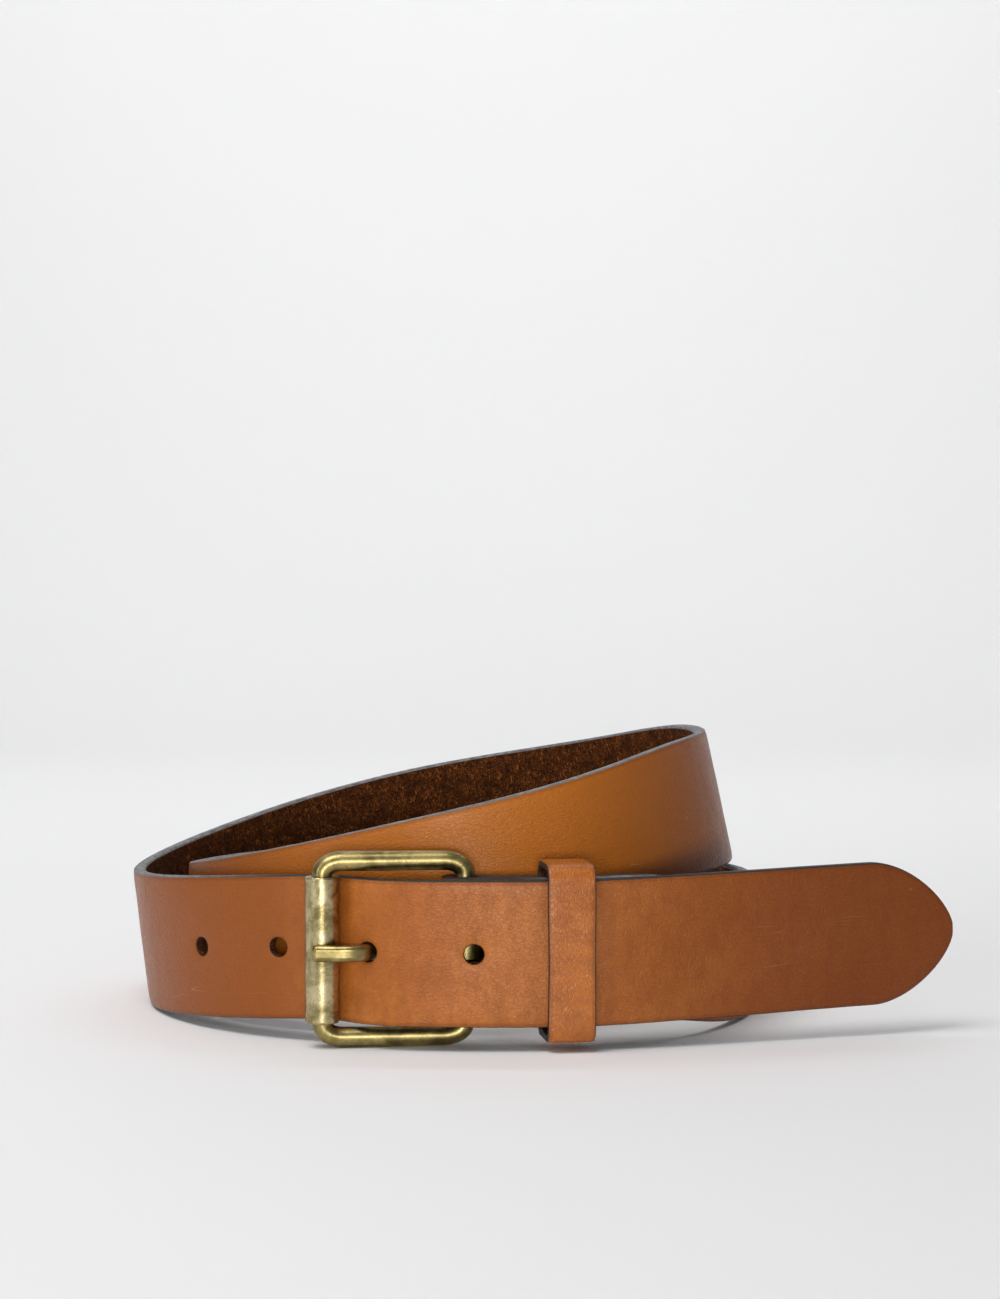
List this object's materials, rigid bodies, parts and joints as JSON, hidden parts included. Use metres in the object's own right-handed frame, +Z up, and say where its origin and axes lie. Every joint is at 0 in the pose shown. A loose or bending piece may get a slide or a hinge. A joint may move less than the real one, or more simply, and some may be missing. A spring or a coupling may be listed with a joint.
{
  "type": "leather belt",
  "caption": "Leather belt with a roller buckle and a sliding keeper, buckled and coiled in two turns standing on its edge.",
  "frame": {"origin": "under the middle of the coiled belt, on the surface that it stands on", "axes": "+X along the front of the coil towards the tip, +Y from the buckle to the back of the coil, +Z up"},
  "size_m": [0.2094, 0.1668, 0.0713],
  "materials": {
    "strap_leather": "tan full-grain leather with a soft gloss, brown nap inside",
    "keeper_leather": "tan full-grain leather, glossier than the strap",
    "staple_steel": "plain wire",
    "antique_brass": "antique, dark patina",
    "roller_brass": "antique, dark patina",
    "prong_brass": "antique, dark patina",
    "screw_brass": "antique, dark patina"
  },
  "bodies": {
    "belt": {"strap": "strap_leather", "screw_post_1": "screw_brass", "screw_post_2": "screw_brass", "screw_1": "screw_brass", "screw_2": "screw_brass"},
    "keeper": {"keeper": "keeper_leather", "keeper_staples": "staple_steel"},
    "buckle": {"buckle_frame": "antique_brass"},
    "roller": {"roller": "roller_brass"},
    "prong": {"prong": "prong_brass"}
  },
  "joints": [
    {"name": "keeper_slide", "type": "slide", "parent": "belt", "child": "keeper", "axis": [-0.9881, -0.1538, 0], "range_m": [-0.0016, 0.0016]},
    {"name": "buckle_tilt", "type": "hinge", "parent": "belt", "child": "buckle", "pos_m": [-0.01603, -0.07028, 0.0233], "axis": [0, 0, 1], "range_deg": [-3, 16], "stiffness_Nm_per_rad": 0.05, "deforming": ["strap"]},
    {"name": "roller_spin", "type": "hinge", "parent": "buckle", "child": "roller", "pos_m": [-0.05024, -0.07388, 0.02355], "axis": [0, 0, 1], "continuous": true},
    {"name": "prong_lift", "type": "hinge", "parent": "buckle", "child": "prong", "pos_m": [-0.01603, -0.07028, 0.0233], "axis": [0, 0, 1], "range_deg": [0, 1.6]}
  ]
}
